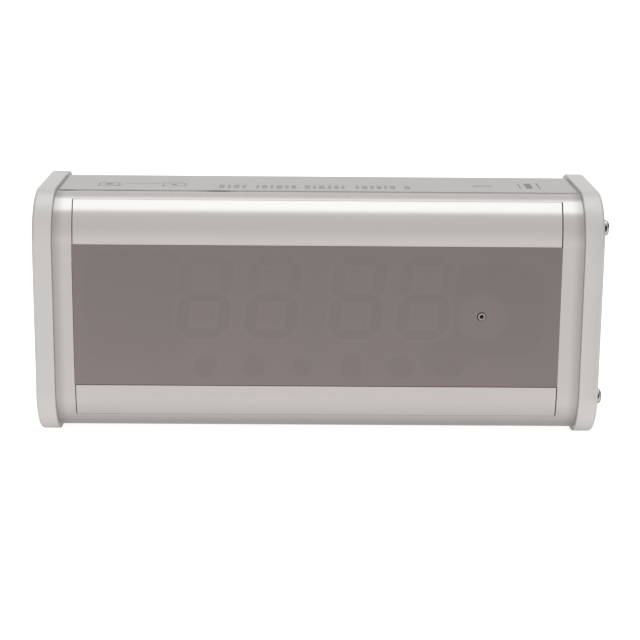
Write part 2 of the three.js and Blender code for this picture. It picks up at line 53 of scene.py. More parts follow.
CAMERA_PLACE = Vector((-8.37, -795.2, 240.75)) * MM
CAMERA_TURN, CAMERA_PITCH, CAMERA_ROLL = 0.01073, 0.2409, -0.008878  # radians
LENS, SENSOR = 98.72, 36  # millimetres
ahead = Vector((
    sin(CAMERA_TURN) * cos(CAMERA_PITCH), cos(CAMERA_TURN) * cos(CAMERA_PITCH),
    -sin(CAMERA_PITCH)))
level = Vector((cos(CAMERA_TURN), -sin(CAMERA_TURN), 0))
down = ahead.cross(level)
right = cos(CAMERA_ROLL) * level + sin(CAMERA_ROLL) * down
up = sin(CAMERA_ROLL) * level - cos(CAMERA_ROLL) * down
camera_data = bpy.data.cameras.new("camera")
camera_data.lens, camera_data.sensor_width = LENS, SENSOR
camera_data.clip_start, camera_data.clip_end = 0.02, 60
camera = bpy.data.objects.new("camera", camera_data)
facing = Matrix((right, up, -ahead)).transposed().to_4x4()
camera.matrix_world = Matrix.Translation(CAMERA_PLACE) @ facing
scene.collection.objects.link(camera)
scene.camera = camera
scene.view_settings.view_transform = "Standard"


# ---- Material tools ----

def linear(colour):
    """An sRGB hex colour as linear RGBA."""
    shares = [int(colour[i:i + 2], 16) / 255 for i in (0, 2, 4)]
    return (*(c / 12.92 if c <= 0.04045 else ((c + 0.055) / 1.055) ** 2.4 for c in shares), 1)


def add_node(tree, kind, inputs=None, **settings):
    """Adds a node; inputs are links where they are sockets and values otherwise."""
    node = tree.nodes.new(kind)
    for name, value in settings.items():
        setattr(node, name, value)
    for name, value in (inputs or {}).items():
        if isinstance(value, bpy.types.NodeSocket):
            tree.links.new(value, node.inputs[name])
        else:
            node.inputs[name].default_value = value
    return node


def per_mm(size):
    """The texture scale that gives features of this size in millimetres."""
    return 1 / (size * MM)


def start_material(name, **shader_values):
    """A new material with a Principled shader, and its tree, shader and object coordinates."""
    material = bpy.data.materials.new(name)
    material.use_nodes = True
    tree = material.node_tree
    tree.nodes.clear()
    shader = add_node(tree, "ShaderNodeBsdfPrincipled", shader_values)
    add_node(tree, "ShaderNodeOutputMaterial", {"Surface": shader.outputs["BSDF"]})
    place = add_node(tree, "ShaderNodeTexCoord").outputs["Object"]
    return material, tree, shader, place


def spread(tree, value, low, high):
    """Maps a 0 to 1 pattern to a range."""
    return add_node(
        tree, "ShaderNodeMapRange",
        {"Value": value, "To Min": low, "To Max": high}).outputs["Result"]


def shade_of(tree, colour, amount):
    """The colour made lighter or darker by a factor."""
    return add_node(
        tree, "ShaderNodeVectorMath", {0: linear(colour)[:3], "Scale": amount}, operation="SCALE",
    ).outputs["Vector"]


def surface(
    name, colour, roughness, grain, grain_depth, tint=0.02, stretch=(1, 1, 1), blotch=14,
    roughness_change=0.05, **shader_values,
):
    """A material with a fine grain (mm) in its relief and gloss, and slow changes of colour."""
    material, tree, shader, place = start_material(name, **shader_values)
    stretched = add_node(
        tree, "ShaderNodeMapping", {"Vector": place, "Scale": stretch}).outputs["Vector"]
    fine = add_node(
        tree, "ShaderNodeTexNoise",
        {"Vector": stretched, "Scale": per_mm(grain), "Detail": 2.0}).outputs["Fac"]
    slow = add_node(
        tree, "ShaderNodeTexNoise",
        {"Vector": stretched, "Scale": per_mm(blotch), "Detail": 3.0}).outputs["Fac"]
    both = add_node(
        tree, "ShaderNodeMath", {0: fine, 1: slow}, operation="ADD").outputs["Value"]
    factor = spread(tree, add_node(
        tree, "ShaderNodeMath", {0: both, 1: 0.5}, operation="MULTIPLY").outputs["Value"],
        1 - tint, 1 + tint)
    tree.links.new(shade_of(tree, colour, factor), shader.inputs["Base Color"])
    tree.links.new(
        spread(tree, fine, roughness - roughness_change, roughness + roughness_change),
        shader.inputs["Roughness"])
    relief = add_node(
        tree, "ShaderNodeBump",
        {"Height": fine, "Distance": grain_depth * MM, "Strength": 1.0}).outputs["Normal"]
    tree.links.new(relief, shader.inputs["Normal"])
    return material


def paint_end_shade(material, centre, half_length, reach, least):
    """Darkens a material towards both ends along X: painted shade where the case meets the end
    plates.
    """
    tree = material.node_tree
    shader = next(n for n in tree.nodes if n.type == "BSDF_PRINCIPLED")
    plain = shader.inputs["Base Color"].links[0].from_socket
    place = add_node(tree, "ShaderNodeTexCoord").outputs["Object"]
    x = add_node(tree, "ShaderNodeSeparateXYZ", {"Vector": place}).outputs["X"]
    offset = add_node(
        tree, "ShaderNodeMath", {0: x, 1: centre}, operation="SUBTRACT").outputs["Value"]
    offset = add_node(tree, "ShaderNodeMath", {0: offset}, operation="ABSOLUTE").outputs["Value"]
    tone = add_node(
        tree, "ShaderNodeMapRange",
        {"Value": offset, "From Min": half_length - reach, "From Max": half_length, "To Min": 1.0,
         "To Max": least}, interpolation_type="SMOOTHSTEP").outputs["Result"]
    end_shaded = add_node(
        tree, "ShaderNodeVectorMath", {0: plain, "Scale": tone},
        operation="SCALE").outputs["Vector"]
    tree.links.new(end_shaded, shader.inputs["Base Color"])


# ---- Materials ----

# Anodised aluminium extrusion: die lines run along the case. Real ones are about 0.1 mm
# apart; these are drawn at 0.7 mm so that they show.
ALUMINIUM_LOOK = dict(
    colour="E4DEDB", roughness=0.24, grain=0.7, grain_depth=0.0006, tint=0.03,
    stretch=(0.006, 1, 1), blotch=6, roughness_change=0.03, Metallic=1.0)
anodised_aluminium = surface("anodised_aluminium", **ALUMINIUM_LOOK)
# The case's own copy, which takes the painted shade next to the end plates below.
anodised_case = surface("anodised_aluminium_painted_end_shade", **ALUMINIUM_LOOK)

# Injection-moulded ABS under a silver-white satin paint: a fine orange-peel grain, and enough
# metal flake for a soft highlight.
satin_painted_abs = surface(
    "satin_painted_abs", "F2EDEA", 0.32, 0.9, 0.002, tint=0.012, blotch=30, IOR=1.5, Metallic=0.2)

# Printed polyester label under clear laminate: smooth and glossy, a little wavy.
laminated_polyester = surface(
    "laminated_polyester", "CDC9C7", 0.22, 22, 0.03, tint=0.015, blotch=40, IOR=1.55)
# Screen-printed inks: matt, a little uneven.
grey_ink = surface("grey_screen_ink", "9B9694", 0.45, 0.4, 0.001, tint=0.06, blotch=2)
pale_ink = surface("pale_screen_ink", "B5B1AF", 0.4, 0.4, 0.001, tint=0.04, blotch=2)
red_ink = surface("red_screen_ink", "C9A8A4", 0.4, 0.4, 0.001, tint=0.06, blotch=2)

# ABS moulded black, with an eroded mould texture.
black_abs = surface("moulded_black_abs", "242323", 0.55, 0.5, 0.01, tint=0.1, IOR=1.53)
# ABS moulded white, for the key caps and digit blocks.
white_abs = surface("moulded_white_abs", "E6E4E0", 0.4, 0.6, 0.004, tint=0.02, IOR=1.53)
# Black foam and rubber: matt, with open cells.
foam_rubber = surface("black_foam_rubber", "1B1B1B", 0.85, 0.45, 0.05, tint=0.2, IOR=1.52)
# Silicone rubber: pale, soft sheen.
grey_silicone = surface("grey_silicone_rubber", "BDB8B5", 0.3, 0.3, 0.003, tint=0.03, IOR=1.43)
# Pressed steel under black powder paint.
powder_painted_steel = surface("black_powder_paint", "202020", 0.5, 0.35, 0.01, tint=0.1, IOR=1.5)
# Zinc-plated steel cup over a ferrite magnet.
zinc_plate = surface("zinc_plated_steel", "A9AAAB", 0.35, 0.8, 0.002, tint=0.08, Metallic=1.0)
# Nickel-plated steel screws: bright, with faint turning marks.
nickel_plate = surface(
    "nickel_plated_steel", "D6D3CF", 0.07, 0.25, 0.0003, tint=0.05, roughness_change=0.02,
    Metallic=1.0)
# Pressed paper pulp: short matted fibres.
paper_pulp = surface("pressed_paper_pulp", "2A2826", 0.9, 0.6, 0.06, tint=0.25, blotch=3)
# Extruded PVC jacket: ribs between the cable's wires, 1.27 mm apart.
ribbed_pvc = surface(
    "ribbed_pvc_jacket", "B9B7B3", 0.4, 1.27, 0.05, tint=0.06, stretch=(1, 0.01, 0.01),
    IOR=1.54)
# PVC wire jacket: smooth, with a soft sheen.
black_pvc = surface("black_pvc_jacket", "1D1D1D", 0.42, 0.8, 0.01, tint=0.1, IOR=1.54)


def solder_resist_material():
    """Green solder resist over glass-fibre board: copper tracks show as lighter lines."""
    material, tree, shader, place = start_material(
        "green_solder_resist", IOR=1.5, Roughness=0.35)
    cells = add_node(
        tree, "ShaderNodeTexVoronoi", {"Vector": place, "Scale": per_mm(3.2), "Randomness": 0.6},
        distance="MANHATTAN", feature="F1").outputs["Distance"]
    tracks = add_node(
        tree, "ShaderNodeMath", {0: cells, 1: 0.45, 2: 0.06},
        operation="COMPARE").outputs["Value"]
    colour = add_node(
        tree, "ShaderNodeMix", {"Factor": tracks, "A": linear("17402B"), "B": linear("2C6A47")},
        data_type="RGBA").outputs["Result"]
    tree.links.new(colour, shader.inputs["Base Color"])
    relief = add_node(
        tree, "ShaderNodeBump", {"Height": tracks, "Distance": 0.00004, "Strength": 0.6},
    ).outputs["Normal"]
    tree.links.new(relief, shader.inputs["Normal"])
    return material


def smoked_film_material():
    """Smoked polyester film: an even warm grey under painted shading, with what lies behind it
    showing faintly.
    """
    material, tree, shader, place = start_material("smoked_polyester_film", IOR=1.55)
    ghosts_and_painted_shade = add_node(tree, "ShaderNodeAttribute", attribute_name="ghosts_and_painted_shade").outputs["Fac"]
    slow, specks = [
        spread(tree, add_node(
            tree, "ShaderNodeTexNoise",
            {"Vector": place, "Scale": per_mm(size), "Detail": detail}).outputs["Fac"],
            -0.02, 0.02)
        for size, detail in ((26, 3.0), (0.9, 2.0))]
    total = add_node(
        tree, "ShaderNodeMath", {0: slow, 1: specks}, operation="ADD").outputs["Value"]
    total = add_node(
        tree, "ShaderNodeMath", {0: total, 1: ghosts_and_painted_shade}, operation="ADD").outputs["Value"]
    tree.links.new(shade_of(tree, "938884", total), shader.inputs["Base Color"])
    tree.links.new(spread(tree, specks, 0.34, 0.42), shader.inputs["Roughness"])
    return material


solder_resist = solder_resist_material()
smoked_film = smoked_film_material()


# ---- Mesh tools ----

def loose_object(name, bm):
    """Moves a bmesh into a new object at the origin."""
    mesh = bpy.data.meshes.new(name)
    bm.to_mesh(mesh)
    bm.free()
    piece = bpy.data.objects.new(name, mesh)
    scene.collection.objects.link(piece)
    return piece


SHARP_ANGLE = radians(32)  # edges that turn by more than this stay sharp


def make_piece(name, bm, material, body, replaces=()):
    """Finishes a shape as a piece with smooth faces between its sharp edges."""
    piece = loose_object(name, bm)
    for face in piece.data.polygons:
        face.use_smooth = True
    piece.data.set_sharp_from_angle(angle=SHARP_ANGLE)
    piece.data.materials.append(material)
    shading = piece.modifiers.new("even_shading", "WEIGHTED_NORMAL")
    shading.keep_sharp = True
    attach(piece, body)
    if replaces:
        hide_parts(*replaces)
    return piece


def combine(bm, tool, operation):
    """Cuts a tool out of a shape ("DIFFERENCE") or joins it on ("UNION")."""
    shape, other = loose_object("shape", bm), loose_object("tool", tool)
    modifier = shape.modifiers.new("combine", "BOOLEAN")
    modifier.operation, modifier.object, modifier.solver = operation, other, "EXACT"
    result = bmesh.new()
    bpy.context.view_layer.update()
    result.from_object(shape, bpy.context.evaluated_depsgraph_get())
    for used in (shape, other):
        mesh = used.data
        bpy.data.objects.remove(used)
        bpy.data.meshes.remove(mesh)
    bmesh.ops.remove_doubles(result, verts=result.verts, dist=1e-6)
    bmesh.ops.dissolve_degenerate(result, edges=result.edges, dist=1e-7)
    return result


def together(shapes):
    """Several separate shapes as one bmesh."""
    whole = bmesh.new()
    for shape in shapes:
        mesh = bpy.data.meshes.new("part")
        shape.to_mesh(mesh)
        shape.free()
        whole.from_mesh(mesh)
        bpy.data.meshes.remove(mesh)
    return whole


def block(low, high):
    """A box between two corners."""
    low, high = Vector(low), Vector(high)
    place = Matrix.Translation((low + high) / 2) @ Matrix.Diagonal((*(high - low), 1))
    bm = bmesh.new()
    bmesh.ops.create_cube(bm, size=1, matrix=place)
    return bm


def rounded_block(low, high, radius, segments, axis=0):
    """A box with the four edges along one axis rounded."""
    bm = block(low, high)
    along = [
        e for e in bm.edges if abs((e.verts[0].co - e.verts[1].co).normalized()[axis]) > 0.9]
    bmesh.ops.bevel(
        bm, geom=along, offset=radius, segments=segments, profile=0.5, affect="EDGES",
        material=-1)
    return bm


def soften(bm, angle, width, segments=2, test=lambda edge: True):
    """Rounds the edges that turn by more than an angle in degrees and pass a test."""
    bm.normal_update()
    edges = [
        e for e in bm.edges
        if len(e.link_faces) == 2 and e.calc_face_angle() > radians(angle) and test(e)]
    bmesh.ops.bevel(
        bm, geom=edges, offset=width, segments=segments, profile=0.5, affect="EDGES", material=-1,
        clamp_overlap=True)
    return bm


def turned(profile, axis, centre, steps=32):
    """Spins (radius, distance) points, in millimetres, about an axis through a centre."""
    bm = bmesh.new()
    verts = [bm.verts.new((radius * MM, 0, along * MM)) for radius, along in profile]
    edges = [bm.edges.new(pair) for pair in zip(verts, verts[1:])]
    bmesh.ops.spin(
        bm, geom=verts + edges, cent=(0, 0, 0), axis=(0, 0, 1), angle=tau, steps=steps,
        use_merge=True)
    bmesh.ops.remove_doubles(bm, verts=bm.verts, dist=1e-7)
    bmesh.ops.recalc_face_normals(bm, faces=bm.faces)
    turn = {
        "x": Matrix.Rotation(pi / 2, 4, "Y"),
        "y": Matrix.Rotation(-pi / 2, 4, "X"),
        "z": Matrix.Identity(4),
    }[axis]
    bmesh.ops.transform(bm, matrix=Matrix.Translation(Vector(centre)) @ turn, verts=bm.verts)
    return bm


def centre_of(node):
    """The middle of a node's box."""
    low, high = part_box(node)
    return (low + high) / 2


# ---- Sizes, from the frame ----

body_low, body_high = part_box("housing_extrusion")
CASE_RADIUS = 22 * MM
PLATE_RADIUS = 22.5 * MM
WALL = 2 * MM
EDGE_BREAK = 0.18 * MM  # how far sharp metal edges are rounded
MERGE = 1e-7  # metres, closer than which cut points are one
FRONT_Y, REAR_Y = body_low.y, body_high.y
ARC_Y = FRONT_Y + CASE_RADIUS  # centres of the two front roundings
HIGH_ARC_Z = body_high.z - CASE_RADIUS
LOW_ARC_Z = body_low.z + CASE_RADIUS
OPENING_TOP, OPENING_BOTTOM = radians(64), radians(36)  # round from the front face
strip_low, strip_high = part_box("upper_strip")
OPENING_LEFT = strip_low.x - 0.3 * MM
OPENING_RIGHT = strip_high.x + 0.38 * MM
film_low, film_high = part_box("front_film")
WINDOW_BOTTOM = film_low.z - 0.1 * MM
WINDOW_TOP = film_high.z + 0.2 * MM
END_FLARE = 0.07  # how far the ends of the opening run outwards with depth
END_REACH = 0.27 * MM  # the case comes this much closer to the plates than in the frame
END_SHADE_REACH, END_SHADE_TONE = 5.2 * MM, 0.73  # the painted shade next to the end plates: how far in, and its tone at the end
paint_end_shade(
    anodised_case, (body_low.x + body_high.x) / 2, (body_high.x - body_low.x) / 2, END_SHADE_REACH,
    END_SHADE_TONE)
speaker = centre_of("speaker_cone")
inlet = centre_of("power_inlet")
microphone = centre_of("microphone_boot")
MICROPHONE_HOLE = microphone + Vector((-0.2, 0, 0.3)) * MM
screw_axes = [centre_of(f"left_plate_screw_{i}") for i in (1, 2, 3, 4)]
SCREW_HOLE = 1.9  # millimetres, radius of the holes for the plates' screws


# ---- Case and front strips ----

def angle_plane(angle, upper):
    """A point on, and the normal of, the plane through a front rounding's axis at an angle."""
    side, centre_z = (1, HIGH_ARC_Z) if upper else (-1, LOW_ARC_Z)
    return Vector((0, ARC_Y, centre_z)), Vector((0, sin(angle), side * cos(angle)))


def between_ends(point, left, right):
    """Whether a point is between two end cuts, which run outwards a little with depth."""
    outwards = END_FLARE * (point.y - FRONT_Y)
    return left - outwards < point.x < right + outwards


def case_skin(ends_x, keep, front_planes):
    """The case's outer skin, cut at two ends and along planes, with the faces keep accepts."""
    reach = Vector((END_REACH, 0, 0))
    bm = rounded_block(body_low - reach, body_high + reach, CASE_RADIUS, 28)
    bm.normal_update()
    ends = [f for f in bm.faces if abs(f.normal.x) > 0.9]
    bmesh.ops.delete(bm, geom=ends, context="FACES_ONLY")
    for x in ends_x:
        bmesh.ops.bisect_plane(
            bm, geom=bm.verts[:] + bm.edges[:] + bm.faces[:], dist=MERGE,
            plane_co=(x, FRONT_Y, 0), plane_no=(1, END_FLARE if x < 0 else -END_FLARE, 0))
    middle = (body_low.z + body_high.z) / 2
    for point, normal, upper in front_planes:
        faces = [
            f for f in bm.faces
            if f.calc_center_median().y < ARC_Y and (
                upper is None or abs(f.normal.y) > 0.999
                or (f.calc_center_median().z > middle) == upper)]
        edges = {e for f in faces for e in f.edges}
        verts = {v for f in faces for v in f.verts}
        bmesh.ops.bisect_plane(
            bm, geom=list(verts) + list(edges) + faces, dist=MERGE, plane_co=point,
            plane_no=normal)
    unwanted = [f for f in bm.faces if not keep(f.calc_center_median())]
    bmesh.ops.delete(bm, geom=unwanted, context="FACES")
    bmesh.ops.recalc_face_normals(bm, faces=bm.faces)
    return bm


def rounding_angle(point, upper):
    """How far round a front rounding a point is, from the front face."""
    rise = point.z - HIGH_ARC_Z if upper else LOW_ARC_Z - point.z
    return np.arctan2(max(rise, 0.0), max(ARC_Y - point.y, 1e-9))


def in_opening(point):
    """Whether a point of the skin is in the front opening."""
    across = between_ends(point, OPENING_LEFT, OPENING_RIGHT) and point.y < ARC_Y
    return (
        across and rounding_angle(point, True) < OPENING_TOP
        and rounding_angle(point, False) < OPENING_BOTTOM)


def thicken(bm):
    """Gives an open skin the case's wall, inwards, and breaks its sharp edges."""
    bm.normal_update()
    bmesh.ops.solidify(bm, geom=bm.faces[:], thickness=WALL)
    return soften(bm, 50, EDGE_BREAK)


def flared_hole(radius, x, z, flare=0.3):
    """A tool for a drilled hole with a broken edge in the rear wall."""
    rear, wide = REAR_Y / MM, radius + flare + 0.1
    return turned(
        [(0, rear - 4), (radius, rear - 4), (radius, rear - flare), (wide, rear + 0.1),
         (wide, rear + 2), (0, rear + 2)], "y", (x, 0, z), 20)


def rod(radius, start, end, axis, steps):
    """A plain rod along X through a point, between two places in metres."""
    return turned(
        [(0, start / MM), (radius, start / MM), (radius, end / MM), (0, end / MM)], "x",
        (0, axis.y, axis.z), steps)


def case_extrusion():
    """The case's tube with its screw ports, board rails and rear holes."""
    bm = thicken(case_skin(
        [OPENING_LEFT, OPENING_RIGHT], lambda p: not in_opening(p),
        [(*angle_plane(OPENING_TOP, True), True), (*angle_plane(OPENING_BOTTOM, False), False)]))
    inner, outer = body_low.x, body_high.x
    port_radius, port_gap = 3.2, 1.2 * MM
    additions = []
    for axis in screw_axes:
        ports = [(inner, outer)] if axis.y > 0 else [
            (inner, OPENING_LEFT - port_gap), (OPENING_RIGHT + port_gap, outer)]
        additions += [rod(port_radius, start, end, axis, 24) for start, end in ports]
    # Two grooved rails on the case's floor hold the main board.
    for side in (-1, 1):
        low_y, high_y = sorted((side * 22.5 * MM, side * 25.2 * MM))
        rail = block((inner, low_y, body_low.z + 1 * MM), (outer, high_y, 9.6 * MM))
        low_y, high_y = sorted((side * 21.5 * MM, side * 24 * MM))
        groove = block((inner - MM, low_y, 6.2 * MM), (outer + MM, high_y, 8.5 * MM))
        additions.append(combine(rail, groove, "DIFFERENCE"))
    for addition in additions:
        bm = combine(bm, addition, "UNION")
    bores = [rod(SCREW_HOLE, inner - MM, outer + MM, axis, 20) for axis in screw_axes]
    # The speaker's grille is a hexagon of holes; radii are in millimetres.
    rings, pitch, grille_hole, bolt_hole, inlet_hole = 3, 7.2 * MM, 1.9, 1.8, 4.4
    holes = []
    for row in range(-rings, rings + 1):
        count = 2 * rings + 1 - abs(row)
        for i in range(count):
            x = speaker.x + (i - (count - 1) / 2) * pitch
            holes.append(flared_hole(grille_hole, x, speaker.z + row * pitch * sin(pi / 3)))
    for i in (1, 2, 3, 4):
        bolt = centre_of(f"speaker_screw_{i}")
        holes.append(flared_hole(bolt_hole, bolt.x, bolt.z, 0.15))
    holes.append(flared_hole(inlet_hole, inlet.x, inlet.z, 0.15))
    return combine(bm, together(bores + holes), "DIFFERENCE")


make_piece("case_extrusion", case_extrusion(), anodised_case, "case",
           ["housing_extrusion"])

TRIM_GAP = 0.04 * MM / CASE_RADIUS  # between the strips and the case, as an angle
upper_edge = np.arcsin((WINDOW_TOP - HIGH_ARC_Z) / CASE_RADIUS)
upper_end, lower_end = OPENING_TOP - TRIM_GAP, OPENING_BOTTOM - TRIM_GAP
strip_ends = [strip_low.x, strip_high.x]
upper_trim = case_skin(
    strip_ends,
    lambda p: in_opening(p) and between_ends(p, *strip_ends)
    and upper_edge < rounding_angle(p, True) < upper_end,
    [(*angle_plane(upper_edge, True), True), (*angle_plane(upper_end, True), True)])
lower_trim = case_skin(
    strip_ends,
    lambda p: in_opening(p) and between_ends(p, *strip_ends)
    and p.z < WINDOW_BOTTOM and rounding_angle(p, False) < lower_end,
    [(Vector((0, 0, WINDOW_BOTTOM)), Vector((0, 0, 1)), None),
     (*angle_plane(lower_end, False), False)])
for end, trim in (("upper", upper_trim), ("lower", lower_trim)):
    make_piece(
        end + "_trim_strip", thicken(trim), anodised_aluminium, "case",
        [end + "_strip"])


# ---- End plates and their screws ----

def end_plate(node, side):
    """An end plate, cored out inside; the left one's screw holes are countersunk."""
    low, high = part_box(node)
    outer, inner = (high.x, low.x) if side > 0 else (low.x, high.x)

    def rim_at(x):
        """A test for the edges of the face at a place along X."""
        return lambda edge: all(abs(v.co.x - x) < 1e-6 for v in edge.verts)

    outer_round, inner_round = 1.5 * MM, 0.25 * MM
    bm = rounded_block(low, high, PLATE_RADIUS, 20)
    soften(bm, 60, outer_round, 5, rim_at(outer))
    soften(bm, 60, inner_round, 2, rim_at(inner))
    core_depth, inset, core_radius = 5 * MM, 15.75 * MM, 3 * MM
    core_start, core_end = sorted((inner - side * MM, inner + side * core_depth))
    tools = [rounded_block(
        (core_start, low.y + inset, low.z + inset), (core_end, high.y - inset, high.z - inset),
        core_radius, 6)]
    start, end, sink = low.x / MM, high.x / MM + 1, 3.75  # sink is the countersink's radius
    for axis in screw_axes:
        hole = [(0, start - 1), (SCREW_HOLE, start - 1), (SCREW_HOLE, end), (0, end)]
        if side < 0:
            hole[1:2] = [(sink, start - 1), (sink, start + 0.15), (SCREW_HOLE, start + 2.5)]
        tools.append(turned(hole, "x", (0, axis.y, axis.z), 32))
    return combine(bm, together(tools), "DIFFERENCE")


def cross_recess(size, depth, axis, side, centre, face):
    """Two crossed, tapered slots for a screwdriver, sunk from a face along an axis."""
    slots = []
    half_width, cross_turn = size / 6.5, 0.35
    for turn in (cross_turn, cross_turn + pi / 2):
        slot = block((-size / 2, -half_width, -depth), (size / 2, half_width, depth))
        for vert in slot.verts:
            if vert.co.z < 0:
                vert.co.x *= 0.55
                vert.co.y *= 0.7
        bmesh.ops.rotate(
            slot, verts=slot.verts, cent=(0, 0, 0), matrix=Matrix.Rotation(turn, 3, "Z"))
        slots.append(slot)
    tool = combine(slots[0], slots[1], "UNION")
    to_axis = {
        "x": Matrix.Rotation(side * pi / 2, 4, "Y"),
        "y": Matrix.Rotation(-side * pi / 2, 4, "X"),
    }[axis]
    place = Vector(centre)
    place["xyz".index(axis)] = face
    bmesh.ops.transform(tool, matrix=Matrix.Translation(place) @ to_axis, verts=tool.verts)
    return tool


def threaded(start, end, radius, pitch=0.8):
    """Points of a threaded shank between two distances."""
    points = []
    turns = int(abs(end - start) / pitch)
    step = (end - start) / turns
    for i in range(turns):
        points += [(radius, start + (i + 0.15) * step), (radius * 0.8, start + (i + 0.6) * step)]
    return points


def pan_screw(node):
    """A right plate's screw, with a tall pan head."""
    low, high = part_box(node)
    middle = (low + high) / 2
    tip, seat, crown = low.x / MM, high.x / MM - 2.2, 2.65
    profile = [(0, tip), (0.5, tip + 0.15)] + threaded(tip + 0.8, seat - 1, 1.5) + [
        (1.5, seat - 0.6), (1.6, seat), (3.35, seat), (3.5, seat + 0.15), (3.5, seat + 1.15),
        (3.42, seat + 1.5), (3.2, seat + 1.85), (2.75, seat + 2.2), (2.1, seat + 2.45),
        (1.2, seat + 2.6), (0, seat + crown)]
    head = turned(profile, "x", (0, middle.y, middle.z), 40)
    recess = cross_recess(3.7 * MM, 1.5 * MM, "x", 1, middle, (seat + crown) * MM)
    return combine(head, recess, "DIFFERENCE")


def flush_screw(node):
    """A left plate's screw, with a countersunk head."""
    low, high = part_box(node)
    middle = (low + high) / 2
    face, tip = low.x / MM, high.x / MM
    profile = [(0, face), (3.2, face), (3.3, face + 0.12), (1.6, face + 2.2)] + threaded(
        face + 2.6, tip - 1, 1.5) + [(0.5, tip - 0.15), (0, tip)]
    head = turned(profile, "x", (0, middle.y, middle.z), 40)
    return combine(head, cross_recess(3.7 * MM, 1.4 * MM, "x", -1, middle, low.x), "DIFFERENCE")


def speaker_bolt(node):
    """A speaker screw, with a low pan head on the rear wall."""
    low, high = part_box(node)
    middle = (low + high) / 2
    tip, face = low.y / MM, high.y / MM
    seat = face - 1.55
    profile = [(0, tip), (0.6, tip + 0.1)] + threaded(tip + 0.6, seat - 0.6, 1.5, 0.6) + [
        (1.5, seat - 0.3), (1.55, seat), (2.7, seat), (2.8, seat + 0.12), (2.8, seat + 0.55),
        (2.6, seat + 1), (2.0, seat + 1.35), (1.2, seat + 1.5), (0, seat + 1.55)]
    head = turned(profile, "y", (middle.x, 0, middle.z), 40)
    return combine(head, cross_recess(3.1 * MM, 1.1 * MM, "y", 1, middle, high.y), "DIFFERENCE")


for name, side in (("end_plate_left", -1), ("end_plate_right", 1)):
    make_piece(
        name + "_moulding", end_plate(name, side), satin_painted_abs, "case",
        [name])
screw_makers = {
    "right_plate_screw": pan_screw, "left_plate_screw": flush_screw, "speaker_screw": speaker_bolt}
for i in (1, 2, 3, 4):
    for kind, maker in screw_makers.items():
        node = f"{kind}_{i}"
        make_piece(f"{node}_turned", maker(node), nickel_plate, "case", [node])


# ---- Top label ----

label_low, label_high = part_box("top_label")
LIFT_DEPTH = 3.5 * MM  # how far back from its front edge the label has lifted
# The places where it has lifted: along X, half width and height, in millimetres.
BUBBLES = ((-113, 4, 0.14), (-88, 14, 0.05), (-46, 6, 0.2), (5, 20, 0.02), (64, 16, 0.03))


def label_lift(x, y):
    """How far the label has lifted along its front edge, in metres."""
    edge = max(0.0, 1 - (y - label_low.y) / LIFT_DEPTH)
    swell = sum(tall * np.exp(-(((x / MM - at) / wide) ** 2)) for at, wide, tall in BUBBLES)
    return float(swell) * MM * edge * edge


def top_label():
    """The label, cut finely enough for its front edge to lift."""
    bm = rounded_block(
        (label_low.x, label_low.y, body_high.z - 0.02 * MM), label_high, 1.2 * MM, 4, axis=2)
    soften(bm, 60, 0.2 * MM, 2, lambda e: all(v.co.z > label_high.z - 0.01 * MM for v in e.verts))
    for axis, count in ((0, 150), (1, 24)):
        start, end = label_low[axis], label_high[axis]
        normal = Vector((0, 0, 0))
        normal[axis] = 1
        for i in range(1, count):
            bmesh.ops.bisect_plane(
                bm, geom=bm.verts[:] + bm.edges[:] + bm.faces[:], dist=MERGE,
                plane_co=normal * (start + (end - start) * i / count), plane_no=normal)
    for vert in bm.verts:
        vert.co.z += label_lift(vert.co.x, vert.co.y)
    return bm


make_piece("printed_label", top_label(), laminated_polyester, "case", ["top_label"])

# Generic marks printed on the label: a row of small bars, two frames and a few plain bars.
INK = 0.03 * MM  # thickness of the print


def ink_bar(x, y, width, depth):
    """A printed bar, by its centre and size in millimetres."""
    centre = Vector((x * MM, y * MM, label_high.z))
    half = Vector((width / 2, depth / 2, 0)) * MM
    return rounded_block(
        centre - half, centre + half + Vector((0, 0, INK)), min(width, depth) * 0.2 * MM, 2,
        axis=2)


def ink_frame(x, y, width, depth, line=0.5):
    """Four printed bars round a rectangle."""
    rows = [ink_bar(x, y + side * depth / 2, width, line) for side in (-1, 1)]
    return rows + [
        ink_bar(x + side * width / 2, y, line, depth - line * 1.2) for side in (-1, 1)]


dash_widths, dash_depth, dash_gap = [2.4, 1.2, 2.0, 1.6, 2.6, 1.4], 8.5, 1.35
dashes, x = [], -46.0
for i in range(27):
    width = dash_widths[i * 5 % 6]
    if i % 7 != 4:
        dashes.append(ink_bar(x + width / 2, -9.5, width, dash_depth))
    x += width + dash_gap
make_piece("label_dashes", together(dashes), pale_ink, "case")
frames = ink_frame(-96, -5.5, 9, 8) + ink_frame(-66.5, -5.5, 10, 8) + [
    ink_bar(-96, -5, 3, 3), ink_bar(-66.5, -5.5, 2.2, 2.4), ink_bar(-81.5, -2.4, 17, 0.4),
    ink_bar(94.7, -3, 3, 13), ink_bar(99.2, -3, 0.6, 16), ink_bar(90.5, -3, 0.5, 14)]
make_piece("label_frames", together(frames), grey_ink, "case")
red_marks = [ink_bar(73.5, -4, 9, 3), ink_bar(-91, -8.6, 4, 1.2)]
make_piece("label_red_marks", together(red_marks), red_ink, "case")


# ---- Display film ----

digit_centres = [centre_of(f"led_digit_{i}") for i in (1, 2, 3, 4)]
DIGIT_LEAN = tan(radians(4.7))
# The keys' marks, in millimetres: width, height and how far to the right of the key.
KEY_MARKS = (
    (10.5, 11, -0.5), (10.5, 11, -0.5), (8.5, 9.5, 0), (9.5, 10.5, 0.2), (11.5, 10.5, 0.5),
    (14.5, 11, 0.5))
KEY_MARK_DROP = 0.6  # millimetres below the key
HALO = 10.3  # millimetres, radius of the paler disc round the microphone hole


